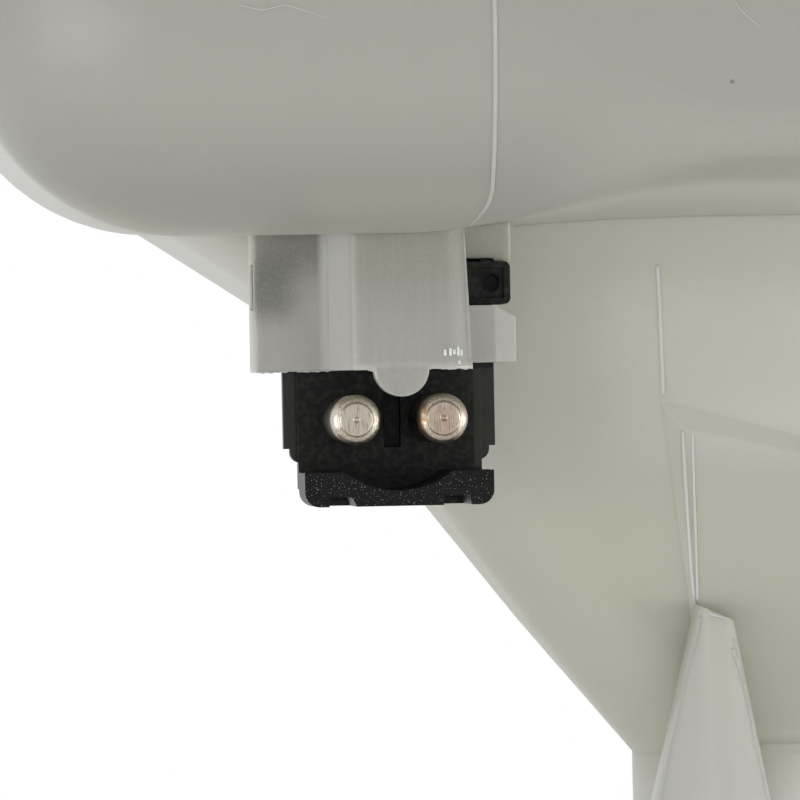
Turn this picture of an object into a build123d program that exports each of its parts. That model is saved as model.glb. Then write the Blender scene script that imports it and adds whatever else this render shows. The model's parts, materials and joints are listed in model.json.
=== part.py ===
from build123d import *
import math
import os

# Coolant recovery tank: two moulded shells welded at a flange, a level sensor clipped into a
# socket under the lower shell's overhang, and a screw cap that holds a pressure and a vacuum
# valve. X runs along the tank, Y to its back, Z up. All is drawn from the point midway between
# the tips of the sensor's two pins. The last lines set the origin down between the two bolts.

# Tank shells
wall = 2.5
tank_length = 187.0
tank_depth = 110.0
left_overhang = 34.9
front_overhang = 26.0
weld_height = 50.0
belly_height = 14.25
belly_at_hopper = 15.6
shelf_at_hopper = 16.5
belly_radius = 18.0
corner_radius = 20.0
shelf_rise = 5.5
shelf_radius = 4.0
shelf_start = 0.5
shelf_end = 26.0
blend_steps = 4
least_radius = 0.5
roof_left = 97.0
roof_right = 109.0
roof_radius = 14.0
flange_width = 4.0
flange_thickness = 3.0
baffle_x = 62.0
baffle_thickness = 2.0
baffle_vent = 9.0
level_mark_length = 14.0
level_mark_width = 1.4
level_mark_proud = 0.6
level_mark_root = 0.5
level_x = 20.0
level_low = 62.0
level_high = 80.0
vent_y = 58.0
vent_z = 78.0
vent_radius = 4.0
vent_bore_radius = 2.5
vent_reach = 20.0
vent_bead_proud = 0.8
vent_bead_length = 2.0
vent_bead_from_end = 3.0

# Hopper under the body, and the hose nipple at its foot
hopper_front = 28.0
hopper_back = 76.0
hopper_left = -16.5
hopper_right = 84.0
hopper_top = 15.7
hopper_kink_x = -5.8
hopper_kink_z = 8.65
hopper_rise = 6.3
hopper_foot = -28.9
hopper_swell = 0.45
hopper_swell_share = 0.7
hopper_edge_radius = 9.0
hopper_roof_share = 0.8
hopper_side_share = 0.25
hopper_foot_share = 1.2
nipple_x = 32.35
nipple_y = 40.0
nipple_radius = 9.9
nipple_bore_radius = 7.0
nipple_end = -76.0
nipple_bore_top = -25.5
hose_step = 0.8
hose_land = 36.0
bead_proud = 1.3
bead_from_end = 4.0
bead_ramp = 3.0
bead_back = 1.0

# Raised pad and flared leg on the front of the hopper
pad_left = 24.1
pad_right = 46.0
pad_top = 1.1
pad_foot_right = 38.0
pad_over_foot = 0.9
pad_proud = 0.6
pad_fall = 6.0
pad_flank = 1.85
pad_brow = 2.5
pad_lean = 3.8
pad_root = 1.5
pad_edge = 1.0
leg_top = -16.8
leg_foot = -54.0
leg_x = 28.2
leg_y = 22.5
leg_neck_width = 3.2
leg_neck_depth = 4.4
leg_neck_round = 0.8
leg_neck_back = 0.6
leg_neck_tilt = 25.0
leg_foot_x = 26.4
leg_radius = 9.7
grommet_radius = 6.6
grommet_bore_radius = 4.0
grommet_length = 12.0
grommet_lip = 1.4
grommet_lip_height = 1.55
grommet_lip_gap = 0.05
grommet_roof = 1.5

# Mounting ears
ear_radius = 11.0
ear_reach = 24.0
ear_thickness = 6.0
ear_y = 29.0
ear_root = 1.0
rib_thickness = 2.0
rib_drop = 9.0
rib_short = 2.0
rib_bite = 0.5
sleeve_wall = 1.5
sleeve_proud = 0.2
sleeve_chamfer = 0.3
bolt_hole_radius = 3.3

# Level sensor
pin_pitch = 7.0
pin_radius = 2.0
pin_nose_radius = 1.35
pin_nose_length = 1.3
pin_dimple_radius = 0.3
pin_dimple_depth = 0.25
pin_edge = 0.12
pin_shoulder = 0.5
pin_stem_radius = 1.1
pin_stem_length = 5.5
face_depth = 11.6
face_width = 15.0
face_step = 0.4
face_thickness = 3.0
sensor_width = 17.3
sensor_depth = 10.4
sensor_bottom = -3.45
sensor_top = 12.7
sensor_step = 1.15
sensor_flange = 1.5
sensor_waist = 0.85
chin_side = 0.5
chin_radius = 0.9
housing_wall = 2.2
housing_roof = 2.0
cavity_floor = 1.8
cavity_end = 0.2
boss_top = 0.0
boss_height = 5.6
boss_depth = 1.8
tray_width = 15.2
tray_x = -0.15
tray_bottom = -6.95
tray_top = -4.2
tray_root = 2.4
tray_shoulder = 7.5
tray_waist = 0.6
tray_scoop_radius = 7.0
tray_scoop_height = 1.3
tray_notch_depth = 0.75
tray_notch_length = 8.0
notch_left = (-5.8, -4.0, 0.92)
notch_right = (3.4, 5.5, 0.23)
tray_corner_radius = 1.2
keyway_x = 0.2
keyway_width = 1.4
keyway_depth = 1.6
keyway_drop = 3.6
keyway_stop = 3.0
latch_height = 3.5
latch_left_reach = 2.1
latch_right_reach = 1.45
latch_hole_x = 8.55
latch_frame = 0.55
latch_recess_depth = 0.5
latch_depth = 4.4
latch_bottom = 9.2
latch_hole_radius = 0.7
latch_hole_depth = 1.2
latch_edge = 0.5
stalk_radius = 4.3
stalk_bore_radius = 3.0
stalk_gap = 1.0
stalk_cap = 1.5
stalk_behind_face = 5.4
reed_radius = 1.3
reed_length = 14.0
reed_bottom = 36.0
reed_round = 0.8
lead_radius = 0.3
lead_bend = 0.9
lead_out = 1.6
lead_rise = 7.0
lead_above = 3.0
lead_aside = 0.9

# Socket that the sensor clips into
socket_wall = 2.0
socket_web = 1.3
socket_right_wall = 1.4
socket_shoulder = 6.5
socket_bottom = 4.0
socket_clearance = 0.3
block_left = -3.6
block_right = 6.07
block_lean = 0.5
block_round = 2.0
block_edge = 0.7
block_flare = 1.5
block_wall = 2.0
block_bite = 1.5
block_ceiling = 0.5
lobe_radius = 2.2
lobe_x = 0.2
upper_wing_back = 1.9
wing_corner = 1.2
wing_lift = 0.45
wing_slope = 0.9
sleeve_bite = 2.2

# Float and its well
well_wall = 1.5
well_above_clip = 1.6
well_edge = 0.6
well_root = 1.0
float_radius = 13.0
float_height = 14.0
float_clearance = 0.4
float_travel = 28.0
float_edge = 1.0
magnet_wall = 1.0
magnet_width = 3.2
magnet_height = 4.0
clip_thickness = 1.0
clip_width = 4.0
clip_groove_depth = 0.9
clip_opening = 7.0

# Filler neck and cap
filler_x = 105.0
filler_y = 29.0
neck_top = 131.0
neck_radius = 21.0
neck_wall = 3.0
collar_width = 4.0
collar_height = 3.0
thread_pitch = 6.0
thread_turns = 1.5
thread_proud = 1.4
thread_bottom = 117.5
thread_root_half = 1.4
thread_tip_half = 0.5
thread_bite = 0.2
gasket_thickness = 1.5
gasket_bite = 0.4
insert_flange_over_thread = 1.4
insert_flange_thickness = 2.5
insert_clearance = 0.3
insert_wall = 2.6
insert_depth = 15.5
insert_floor = 2.0
insert_edge = 0.6
seat_hole_radius = 9.0
oring_section = 0.8
oring_groove_depth = 1.5
oring_up = 4.0
valve_radius = 12.6
valve_thickness = 1.5
valve_hole_radius = 3.0
valve_rim_height = 1.5
valve_rim_wall = 1.2
valve_rim_gap = 0.4
seal_thickness = 1.2
seal_inset = 0.3
seal_land = 0.6
spring_wire = 0.8
spring_radius = 9.5
spring_turns = 3.5
retainer_thickness = 1.5
retainer_bite = 0.4
retainer_drop = 1.3
retainer_slots = 4
retainer_slot = (8.0, 13.5)
retainer_slot_width = 3.0
poppet_radius = 5.5
poppet_thickness = 1.2
poppet_edge = 0.4
poppet_stem_radius = 1.6
poppet_spring_radius = 3.3
poppet_spring_wire = 0.35
poppet_spring_turns = 3.0
poppet_spring_height = 4.0
washer_radius = 4.4
washer_thickness = 0.8
washer_groove = 0.4
stem_tip = 0.8
cap_wall = 4.5
cap_side_gap = 1.2
cap_roof = 2.6
cap_foot_edge = 0.8
cap_draft = 0.8
cap_shoulder = (2.6, 0.6)
cap_brow = (5.5, 2.5)
cap_dish = (8.0, 9.0, 0.7)
cap_skirt = 23.0
cap_lip_gap = 0.5
cap_lip_height = 1.6
cap_grips = 12
cap_grip_radius = 5.5
cap_grip_depth = 2.0
cap_clearance = 0.3

# Gaps between seated pieces
seat_gap = 0.3
fit_gap = 0.05
slip_gap = 0.1

# Places that follow from the sizes above
tank_left = -left_overhang
tank_right = tank_left + tank_length
tank_front = -front_overhang
tank_back = tank_front + tank_depth
over = 1.0
socket_front = face_depth - socket_clearance - socket_wall
well_y = face_depth + stalk_behind_face
well_bore_radius = stalk_radius + socket_clearance
well_radius = well_bore_radius + well_wall
sensor_back = face_depth + sensor_depth
socket_half = sensor_width / 2 + socket_clearance
socket_left = -socket_half - socket_wall
socket_right = socket_half + socket_right_wall
body_half = sensor_width / 2 - sensor_waist
neck_bore_radius = neck_radius - neck_wall
thread_radius = neck_radius + thread_proud
insert_flange_radius = thread_radius + insert_flange_over_thread
cap_bore_radius = insert_flange_radius + cap_side_gap
cap_radius = cap_bore_radius + cap_wall
cap_lip_radius = thread_radius + cap_lip_gap
insert_radius = neck_bore_radius - insert_clearance
flange_z = neck_top + gasket_thickness
insert_bottom = flange_z - insert_depth
floor_z = insert_bottom + insert_floor
insert_bore_radius = insert_radius - insert_wall
valve_z = floor_z + seal_thickness
insert_top = flange_z + insert_flange_thickness
retainer_z = insert_top - retainer_thickness - retainer_drop
bolt_left = tank_left - flange_width - ear_reach + ear_radius
bolt_right = tank_right + flange_width + ear_reach - ear_radius
ear_bottom = weld_height - ear_thickness
sleeve_radius = bolt_hole_radius + sleeve_wall
cavity_y = face_depth + face_thickness
cavity_half = sensor_width / 2 - housing_wall
cavity_z = (sensor_bottom + cavity_floor, sensor_top - housing_roof)
float_bore_radius = well_radius + float_clearance
magnet_inner = float_bore_radius + magnet_wall
magnet_outer = magnet_inner + magnet_width
oring_groove_radius = insert_radius - oring_groove_depth
oring_z = insert_bottom + oring_up
poppet_z = valve_z - poppet_thickness - slip_gap
washer_z = valve_z + valve_thickness + poppet_spring_height
stem_top = washer_z + washer_thickness + stem_tip

parts = {}


def box(x, y, z):
    """Box between pairs of limits."""
    return Pos((x[0] + x[1]) / 2, (y[0] + y[1]) / 2, (z[0] + z[1]) / 2) * Box(
        abs(x[1] - x[0]), abs(y[1] - y[0]), abs(z[1] - z[0])
    )


def tube(x, y, z, radius):
    """Upright cylinder between two heights."""
    return Pos(x, y, (z[0] + z[1]) / 2) * Cylinder(radius, abs(z[1] - z[0]))


def ring(x, y, z, outer, inner):
    """Upright ring between two heights."""
    return tube(x, y, z, outer) - tube(x, y, (z[0] - over, z[1] + over), inner)


def smooth(t):
    """Eased share from 0 to 1."""
    return t * t * (3 - 2 * t)


def front_view(y):
    """Upright plane facing the front at depth y: its x is X and its y is Z."""
    return Plane(origin=(0, y, 0), x_dir=(1, 0, 0), z_dir=(0, -1, 0))


def round_bar(points, bend, radius):
    """Round wire along a path of straight runs and tangent arcs."""
    path = FilletPolyline(*points, radius=bend)
    start = Plane(origin=path @ 0, z_dir=path % 0)
    return sweep(start * Circle(radius), path=path)


def coil(x, y, z, radius, wire, turns):
    """Helical spring between two heights, its end turns flush with them."""
    height = z[1] - z[0] - 2 * wire
    path = Pos(x, y, z[0] + wire) * Helix(height / turns, height, radius)
    start = Plane(origin=path @ 0, z_dir=path % 0)
    return sweep(start * Circle(wire), path=path, is_frenet=True)


# Tank body: one section across the tank, carried along it while its lower edges tighten


def belly_at(y, share):
    """Height of the underside at depth y."""
    front = belly_height + shelf_rise * share
    middle = belly_at_hopper + (shelf_at_hopper - belly_at_hopper) * share
    return front + (middle - front) * (y - tank_front) / (hopper_front - tank_front)


def shelf_share(x):
    """Share of the shelf's rise that the underside has at x."""
    return smooth(min(max((x - shelf_start) / (shelf_end - shelf_start), 0), 1))


# Heights that follow from the floor under the float
float_z = belly_at(well_y, shelf_share(float_radius)) + wall + seat_gap
clip_z = float_z + float_height + float_travel + seat_gap
well_top = clip_z + clip_thickness + well_above_clip
stalk_top = well_top - well_wall - stalk_gap


def body_section(share, inset):
    """Cross-section of the lower body, its depth along x and its height along y."""
    near = tank_front + inset
    far = tank_back - inset
    slope = (belly_at(far, share) - belly_at(near, share)) / (far - near)
    lift = inset * math.hypot(1, slope)
    top = weld_height + (over if inset else 0)
    return make_face(
        Polyline(
            (near, top),
            (near, belly_at(near, share) + lift),
            (far, belly_at(far, share) + lift),
            (far, top),
            close=True,
        )
    )


def end_block(share, radius, x, inset, end):
    """Stretch of one section with a rounded end: end is 0 for the left and -1 for the right."""
    section = Pos(x[0], 0, 0) * (Plane.YZ * body_section(share, inset))
    block = extrude(section, x[1] - x[0], dir=(1, 0, 0))
    corners = block.edges().filter_by(Axis.Z).group_by(Axis.X)[end]
    block = fillet(corners, corner_radius - inset)
    joint = x[1] if end == 0 else x[0]
    middle = (weld_height + belly_height) / 2
    rim = [
        edge
        for edge in block.edges()
        if edge.bounding_box().max.Z < middle and abs(edge.center().X - joint) > fit_gap
    ]
    return fillet(rim, max(radius - inset, least_radius))


def lower_body(inset):
    """The lower shell's body, or its inside when an inset is given."""
    left = end_block(0, belly_radius, (tank_left + inset, shelf_start), inset, 0)
    right = end_block(1, shelf_radius, (shelf_end, tank_right - inset), inset, -1)
    sections = []
    for step in range(blend_steps + 1):
        x = shelf_start + (shelf_end - shelf_start) * step / blend_steps
        share = shelf_share(x)
        radius = belly_radius + (shelf_radius - belly_radius) * share - inset
        section = body_section(share, inset)
        section = fillet(section.vertices().sort_by(Axis.Y)[:2], max(radius, least_radius))
        sections.append(Pos(x, 0, 0) * (Plane.YZ * section))
    return left + loft(sections) + right


def plan(offset, z):
    """Outline of the tank seen from above, grown by an offset and set at a height."""
    outline = RectangleRounded(
        tank_length + 2 * offset, tank_depth + 2 * offset, corner_radius + offset
    )
    return Pos((tank_left + tank_right) / 2, (tank_front + tank_back) / 2, z) * outline


def funnel_level(z, x, y, radius):
    """Rounded rectangle of the hopper at a height."""
    widest = min(x[1] - x[0], y[1] - y[0]) / 2 - fit_gap
    outline = RectangleRounded(x[1] - x[0], y[1] - y[0], min(radius, widest))
    return Pos((x[0] + x[1]) / 2, (y[0] + y[1]) / 2, z) * outline


def hopper(inset):
    """Funnel under the body, or its inside when an inset is given."""
    lift = hopper_roof_share * inset
    side = hopper_side_share * inset
    shoulder = hopper_kink_x - hopper_left
    run = shoulder * (hopper_rise / (hopper_top - hopper_kink_z))
    foot = nipple_radius - hopper_foot_share * inset
    radius = hopper_edge_radius - inset
    top_x = (hopper_left - run + side, hopper_right + run - side)
    kink_x = (hopper_kink_x + side, hopper_right - shoulder - side)
    kink_y = (hopper_front + inset, hopper_back - inset)
    foot_x = (nipple_x - foot, nipple_x + foot)
    foot_y = (nipple_y - foot, nipple_y + foot)

    def between(first, second):
        return first + (second - first) * hopper_swell_share

    swell_x = (between(kink_x[0], foot_x[0]) - hopper_swell, between(kink_x[1], foot_x[1]) + hopper_swell)
    swell_y = (between(kink_y[0], foot_y[0]), between(kink_y[1], foot_y[1]))
    levels = [
        funnel_level(hopper_top + hopper_rise + lift, top_x, kink_y, radius),
        funnel_level(hopper_kink_z + lift, kink_x, kink_y, radius),
        funnel_level(
            between(hopper_kink_z, hopper_foot) + lift,
            swell_x,
            swell_y,
            between(radius, nipple_radius),
        ),
        funnel_level(hopper_foot + lift, foot_x, foot_y, nipple_radius),
    ]
    return loft(levels, ruled=True)


def nipple():
    """Hose nipple under the hopper, with a bead that holds the hose."""
    hose = nipple_radius - hose_step
    neck_end = nipple_end + hose_land
    bead_z = nipple_end + bead_from_end
    back_z = bead_z + (bead_ramp + bead_back) / 2
    neck = tube(nipple_x, nipple_y, (neck_end, hopper_foot + least_radius), nipple_radius)
    spout = tube(nipple_x, nipple_y, (nipple_end, neck_end), hose)
    spout = chamfer(spout.edges().group_by(Axis.Z)[0], hose_step)
    bead = Pos(nipple_x, nipple_y, bead_z) * Cone(hose, hose + bead_proud, bead_ramp)
    back = Pos(nipple_x, nipple_y, back_z) * Cone(hose + bead_proud, hose, bead_back)
    return neck + spout + bead + back


def hopper_wall(depth):
    """Plane that far inside the hopper's leaning front: its x is X and its y runs up from the foot."""
    lean = (nipple_y - nipple_radius - hopper_front) / (hopper_kink_z - hopper_foot)
    foot = nipple_y - nipple_radius
    return Plane(origin=(0, foot + depth, hopper_foot), x_dir=(1, 0, 0), z_dir=(0, -1, -lean))


def wall_pad():
    """Raised pad on the hopper's front, with slanted flanks that run out downwards."""
    left_foot = pad_left + pad_lean
    top = pad_top - hopper_foot
    corner = top - pad_fall
    outline = make_face(
        Polyline(
            (pad_left, top),
            (pad_right, corner),
            (pad_foot_right, pad_over_foot),
            (left_foot, pad_over_foot),
            close=True,
        )
    )
    face = make_face(
        Polyline(
            (pad_left + pad_flank, top - pad_brow),
            (pad_right - pad_flank, corner - pad_brow / 4),
            (pad_foot_right - pad_flank / 4, pad_over_foot + pad_proud),
            (left_foot + pad_flank / 8, pad_over_foot + pad_proud),
            close=True,
        )
    )
    levels = [hopper_wall(pad_root) * outline, hopper_wall(0) * outline, hopper_wall(-pad_proud) * face]
    pad = loft(levels, ruled=True)
    outward = Axis((0, 0, 0), hopper_wall(0).z_dir)
    return fillet(pad.edges().group_by(outward)[-1], pad_edge)


def leg():
    """Flared leg in front of the nipple, with the socket for the rubber foot."""
    neck = RectangleRounded(leg_neck_width, leg_neck_depth, leg_neck_round)
    foot = RectangleRounded(2 * leg_radius, 2 * leg_radius, leg_radius - fit_gap)
    sections = [
        Pos(leg_x, hopper_front - leg_neck_back, leg_top) * Rot(0, leg_neck_tilt, 0) * neck,
        Pos(leg_foot_x, leg_y, leg_foot) * foot,
    ]
    return loft(sections, ruled=True)


def leg_socket():
    """Hole in the leg's foot that the grommet sits in."""
    bore = grommet_radius + fit_gap
    return tube(leg_foot_x, leg_y, (leg_foot - over, leg_foot + grommet_length + fit_gap), bore)


def ear(x, side):
    """Mounting ear with two ribs under it; side is -1 for the left and 1 for the right."""
    root = (tank_left if side < 0 else tank_right) - side * ear_root
    z = (ear_bottom, weld_height)
    shape = tube(x, ear_y, z, ear_radius)
    shape += box(sorted((x, root)), (ear_y - ear_radius, ear_y + ear_radius), z)
    rib = front_view(0) * make_face(
        Polyline(
            (root, ear_bottom + rib_bite),
            (x - side * rib_short, ear_bottom + rib_bite),
            (root, ear_bottom - rib_drop),
            close=True,
        )
    )
    for y in (ear_y - ear_radius + rib_thickness, ear_y + ear_radius):
        shape += Pos(0, y, 0) * extrude(rib, rib_thickness)
    return shape - tube(x, ear_y, (z[0] - over, z[1] + over), sleeve_radius + fit_gap)


# Socket for the sensor, hanging from the underside


def front_edges(shell):
    """Upright edges on the block's front, from left to right."""
    upright = [edge for edge in shell.edges() if edge.bounding_box().size.Z > over]
    return sorted(
        (edge for edge in upright if edge.center().Y < over), key=lambda edge: edge.center().X
    )


def socket_block():
    """Hollow block in front of the sensor, with the half-round key that hangs from it."""
    top = belly_height + block_bite

    def outline(z, inset, back):
        left = block_left + inset
        right = block_right - inset - (0 if z < socket_bottom + over else block_lean)
        return Pos(0, 0, z) * make_face(
            Polyline(
                (left, inset),
                (right, inset),
                (right, back),
                (left - block_flare, back),
                close=True,
            )
        )

    ends = [outline(z, 0, socket_front + over) for z in (socket_bottom, top)]
    shell = loft(ends, ruled=True)
    for end, radius in ((-1, block_round), (0, block_edge)):
        shell = fillet(front_edges(shell)[end], radius)
    hollow_top = belly_height - block_ceiling
    hollow = loft(
        [
            outline(socket_bottom - over, block_wall, socket_front),
            outline(hollow_top, block_wall, socket_front),
        ],
        ruled=True,
    )
    key = front_view(block_wall) * (Pos(lobe_x, socket_bottom) * Circle(lobe_radius))
    key = extrude(key, block_wall)
    return shell - hollow + key


def socket():
    """Sleeve round the sensor's body, open below, with a window for each latch."""
    gap = socket_clearance
    back = sensor_back + gap
    shoulder = socket_front + socket_shoulder
    z = (socket_bottom, belly_height + sleeve_bite)
    room_z = (socket_bottom - over, sensor_top + gap)
    narrow = body_half + gap
    window_y = (face_depth - gap, face_depth + latch_depth + gap)
    window_z = (latch_bottom - slip_gap, latch_bottom + latch_height + slip_gap)
    sleeve = box((socket_left, socket_right), (socket_front, window_y[1] + socket_web), z)
    sleeve += box((-narrow - socket_wall, narrow + socket_right_wall), (shoulder, back + socket_wall), z)
    sleeve -= wing_cuts(z, window_z)
    sleeve += socket_block()
    room = box((-socket_half, socket_half), (socket_front + socket_wall, window_y[1]), room_z)
    room += box((-narrow, narrow), (shoulder, back), room_z)
    left = box((socket_left - over, 0), window_y, window_z)
    right = box((block_right + slip_gap, socket_right + over), (0, window_y[1]), window_z)
    return sleeve - room - left - right


def wing_cuts(z, window_z):
    """What the right wall lacks: its front corner, its lower end, and all in front of its upper part."""
    outside = socket_right + over
    corner = make_face(
        Polyline(
            (sensor_width / 2, socket_front - over),
            (outside, socket_front - over),
            (outside, socket_front + wing_corner),
            (sensor_width / 2, socket_front),
            close=True,
        )
    )
    cuts = Pos(0, 0, z[0] - over) * extrude(corner, window_z[0] - z[0] + over)
    slope = front_view(sensor_back) * make_face(
        Polyline(
            (sensor_width / 2, window_z[0] + over),
            (sensor_width / 2, window_z[0]),
            (socket_right, window_z[0] - wing_slope),
            (outside, window_z[0] - wing_slope),
            (outside, window_z[0] + over),
            close=True,
        )
    )
    cuts += extrude(slope, sensor_back)
    upper_front = face_depth + upper_wing_back
    cuts += box((block_right, outside), (0, upper_front), (window_z[0], z[1] + over))
    return cuts + box((block_right, outside), (0, sensor_back), (z[0] - over, z[0] + wing_lift))


# Sensor


def sensor_housing():
    """Black housing: plug face, tray with its scoop, latches and the stalk that goes up the well."""
    half = sensor_width / 2
    flange_y = (face_depth + face_step, face_depth + face_step + sensor_flange)
    z = (sensor_bottom + sensor_step, sensor_top)
    body = box((-body_half, body_half), (flange_y[0], sensor_back), z)
    body += box((-half, half), flange_y, z)
    body += box((-face_width / 2, face_width / 2), (face_depth, flange_y[1]), z)
    chin_z = (sensor_bottom, sensor_bottom + 2 * sensor_step)
    chin = box((-half + chin_side, half - chin_side), flange_y, chin_z)
    body += fillet(chin.edges().filter_by(Axis.Y).group_by(Axis.Z)[0], chin_radius)
    boss_y = (face_depth, face_depth + boss_depth)
    body += box((-face_width / 2, face_width / 2), boss_y, (boss_top - boss_height, boss_top))
    body += tray()
    scoop = front_view(face_depth) * (Pos(tray_x, tray_scoop_height) * Circle(tray_scoop_radius))
    body -= extrude(scoop, face_depth + over)
    body -= box(
        (keyway_x - keyway_width / 2, keyway_x + keyway_width / 2),
        (0, face_depth + keyway_depth),
        (tray_scoop_height - keyway_drop, sensor_top - keyway_stop),
    )
    latch_z = (latch_bottom, latch_bottom + latch_height)
    latch_y = (face_depth, face_depth + latch_depth)
    root = body_half - over
    for x in ((-half - latch_left_reach, -root), (root, half + latch_right_reach)):
        latch = box(x, latch_y, latch_z)
        outer = latch.edges().filter_by(Axis.Y).group_by(Axis.X)[0 if x[0] < 0 else -1]
        body += fillet(outer, latch_edge)
    recess = box(
        (root, half + latch_right_reach - latch_frame),
        (face_depth - over, face_depth + latch_recess_depth),
        (latch_z[0] + latch_frame, latch_z[1] - latch_frame),
    )
    body -= recess - box((0, face_width / 2 - over), (0, sensor_back), latch_z)
    hole = Pos(latch_hole_x, latch_bottom + latch_height / 2) * Circle(latch_hole_radius)
    body -= extrude(front_view(face_depth + latch_hole_depth) * hole, latch_hole_depth + over)
    body += tube(0, well_y, (sensor_top - over, stalk_top), stalk_radius)
    body -= tube(0, well_y, (cavity_z[1] - over, stalk_top - stalk_cap), stalk_bore_radius)
    body -= cavity()
    for x in (-pin_pitch / 2, pin_pitch / 2):
        hole = front_view(cavity_y) * (Pos(x, 0) * Circle(pin_stem_radius + fit_gap))
        body -= extrude(hole, cavity_y - face_depth)
    return body


def tray_plate(half, y):
    """Stretch of the tray with rounded lower corners."""
    plate = box((tray_x - half, tray_x + half), y, (tray_bottom, tray_top))
    return fillet(plate.edges().filter_by(Axis.Y).group_by(Axis.Z)[0], tray_corner_radius)


def tray():
    """Plate under the pins: a notched front rim with rounded lower corners."""
    half = tray_width / 2
    plate = tray_plate(half, (0, tray_shoulder))
    plate += tray_plate(half - tray_waist, (tray_shoulder - over, face_depth + tray_root))
    for near, far, slant in (notch_left, notch_right):
        notch = front_view(tray_notch_length) * make_face(
            Polyline(
                (near, tray_bottom - over),
                (far + slant, tray_bottom - over),
                (far, tray_bottom + tray_notch_depth),
                (near, tray_bottom + tray_notch_depth),
                close=True,
            )
        )
        plate -= extrude(notch, tray_notch_length + over)
    return plate


def cavity():
    """Room in the back of the housing that is filled with potting."""
    return box((-cavity_half, cavity_half), (cavity_y, sensor_back + over), cavity_z)


def contact_pin(x):
    """Round contact pin with a tapered nose, a centre dimple and a thinner stem."""
    profile = make_face(
        Polyline(
            (0, pin_dimple_depth),
            (pin_dimple_radius, 0),
            (pin_nose_radius - pin_edge, 0),
            (pin_nose_radius, pin_edge),
            (pin_radius - pin_edge, pin_nose_length),
            (pin_radius, pin_nose_length + pin_shoulder),
            (pin_radius, face_depth),
            (pin_stem_radius, face_depth),
            (pin_stem_radius, face_depth + pin_stem_length),
            (0, face_depth + pin_stem_length),
            close=True,
        )
    )
    return Pos(x, 0, 0) * revolve(profile, Axis.Y)


def lead_path(side):
    """Route of a lead from its pin's stem, round the back and up the stalk to the reed switch."""
    x = side * pin_pitch / 2
    stem = face_depth + pin_stem_length
    out = stem + lead_out
    start = [(x, stem, 0), (x, out, 0), (x, out, lead_rise)]
    entry = cavity_z[1] + housing_roof
    if side < 0:
        return start + [(0, well_y, entry), (0, well_y, reed_bottom)]
    up = reed_bottom + reed_length
    aside = reed_radius + lead_aside
    return start + [
        (aside, well_y, entry),
        (aside, well_y, up + lead_above),
        (0, well_y, up + lead_above),
        (0, well_y, up),
    ]


def lead(side, radius):
    """Wire from a pin to the reed switch."""
    return round_bar(lead_path(side), lead_bend, radius)


def reed_switch():
    """Sealed glass capsule of the reed switch."""
    glass = tube(0, well_y, (reed_bottom, reed_bottom + reed_length), reed_radius)
    return fillet(glass.edges(), reed_round)


def sensor_potting():
    """Resin that fills the housing's cavity round the stems and leads."""
    filling = box((-cavity_half, cavity_half), (cavity_y, sensor_back - cavity_end), cavity_z)
    for side in (-1, 1):
        stem = Pos(side * pin_pitch / 2, 0) * Circle(pin_stem_radius + fit_gap)
        filling -= extrude(front_view(face_depth + pin_stem_length) * stem, pin_stem_length)
        filling -= lead(side, lead_radius + fit_gap)
    return filling


# Float on the well


def sensor_well():
    """Dry well that stands on the tank's floor, with a groove for the clip at its top."""
    well = tube(0, well_y, (belly_height + well_root, well_top), well_radius)
    well = fillet(well.edges().group_by(Axis.Z)[-1], well_edge)
    groove_z = (clip_z - fit_gap, clip_z + clip_thickness + fit_gap)
    return well - ring(0, well_y, groove_z, well_radius + over, well_radius - clip_groove_depth)


def well_bore():
    """Bore of the well, through the floor into the socket."""
    return tube(0, well_y, (sensor_top, stalk_top + stalk_gap), well_bore_radius)


def float_ring():
    """Foamed float that slides on the well, with a pocket below for its magnet."""
    z = (float_z, float_z + float_height)
    shape = ring(0, well_y, z, float_radius, float_bore_radius)
    shape = chamfer(shape.edges().group_by(Axis.Z)[-1], float_edge)
    pocket_z = (float_z - over, float_z + magnet_height)
    return shape - ring(0, well_y, pocket_z, magnet_outer + slip_gap, magnet_inner - slip_gap)


def float_magnet():
    """Ring magnet in the float's pocket."""
    return ring(0, well_y, (float_z + slip_gap, float_z + magnet_height), magnet_outer, magnet_inner)


def float_clip():
    """Open spring clip in the well's groove, which stops the float."""
    inner = well_radius - clip_groove_depth + fit_gap
    shape = ring(0, well_y, (clip_z, clip_z + clip_thickness), well_radius + clip_width, inner)
    slot_z = (clip_z - over, clip_z + clip_thickness + over)
    return shape - box((-clip_opening / 2, clip_opening / 2), (well_y, well_y + float_radius), slot_z)


# Upper shell


def roof_at(x):
    """Height of the sloped roof."""
    return roof_left + (roof_right - roof_left) * (x - tank_left) / tank_length


def upper_body(inset):
    """Upper shell's body with its sloped roof, or its inside when an inset is given."""
    near = tank_left + inset
    far = tank_right - inset
    base = weld_height - (over if inset else 0)
    side = front_view(tank_back - inset) * make_face(
        Polyline(
            (near, base),
            (far, base),
            (far, roof_at(far) - inset),
            (near, roof_at(near) - inset),
            close=True,
        )
    )
    block = extrude(side, tank_depth - 2 * inset)
    block = fillet(block.edges().filter_by(Axis.Z), corner_radius - inset)
    rim = [edge for edge in block.edges() if edge.bounding_box().min.Z > roof_left - inset - over]
    return fillet(rim, roof_radius - inset)


def neck_thread():
    """Coarse thread round the filler neck."""
    height = thread_pitch * thread_turns
    radius = neck_radius - thread_bite
    tip = thread_proud + thread_bite
    path = Pos(filler_x, filler_y, thread_bottom) * Helix(thread_pitch, height, radius)
    start = Plane(origin=path @ 0, x_dir=(1, 0, 0), z_dir=path % 0)
    flank = make_face(
        Polyline(
            (0, -thread_root_half),
            (tip, -thread_tip_half),
            (tip, thread_tip_half),
            (0, thread_root_half),
            close=True,
        )
    )
    return sweep(start * flank, path=path, is_frenet=True)


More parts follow.
